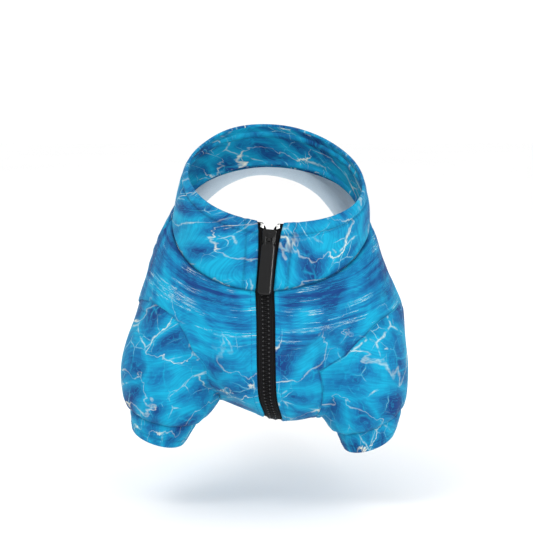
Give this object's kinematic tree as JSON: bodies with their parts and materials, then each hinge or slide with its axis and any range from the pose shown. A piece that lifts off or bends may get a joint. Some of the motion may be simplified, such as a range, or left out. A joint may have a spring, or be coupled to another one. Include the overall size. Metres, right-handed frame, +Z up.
{
  "type": "zip-up dog jacket",
  "caption": "Zip-up jacket for a small dog, shown as worn: standing collar, short cuffed sleeves, water-print knit and a black front zip.",
  "frame": {"origin": "inner face of the back panel over the withers, just behind the collar seam, where the jacket rests on the wearer", "axes": "+Z up, -Y the way the wearer faces, +X the wearer's left"},
  "size_m": [0.2215, 0.387, 0.2477],
  "materials": {
    "printed_knit": "water-print polyester knit, brushed inside, satin",
    "zip_tape": "woven polyester, matt",
    "zip_teeth": "moulded acetal, satin",
    "slider_enamel": "black enamel, gloss",
    "pull_enamel": "black enamel, gloss",
    "stop_metal": "bright"
  },
  "bodies": {
    "jacket": {"chest_panel_left": "printed_knit", "chest_panel_right": "printed_knit", "back_panel": "printed_knit", "collar": "printed_knit", "sleeve_left": "printed_knit", "sleeve_right": "printed_knit", "cuff_left": "printed_knit", "cuff_right": "printed_knit", "zip_tape_left": "zip_tape", "zip_tape_right": "zip_tape", "zip_chain": "zip_teeth", "zip_slider": "slider_enamel", "top_stop_left": "stop_metal", "top_stop_right": "stop_metal", "bottom_stop": "zip_teeth"},
    "pull": {"zip_pull": "pull_enamel"}
  },
  "joints": [
    {"name": "pull_swing", "type": "hinge", "parent": "jacket", "child": "pull", "pos_m": [0.00313, -0.11783, -0.04718], "axis": [-0.9962, 0.0059, 0.0871], "range_deg": [0, 170]}
  ]
}
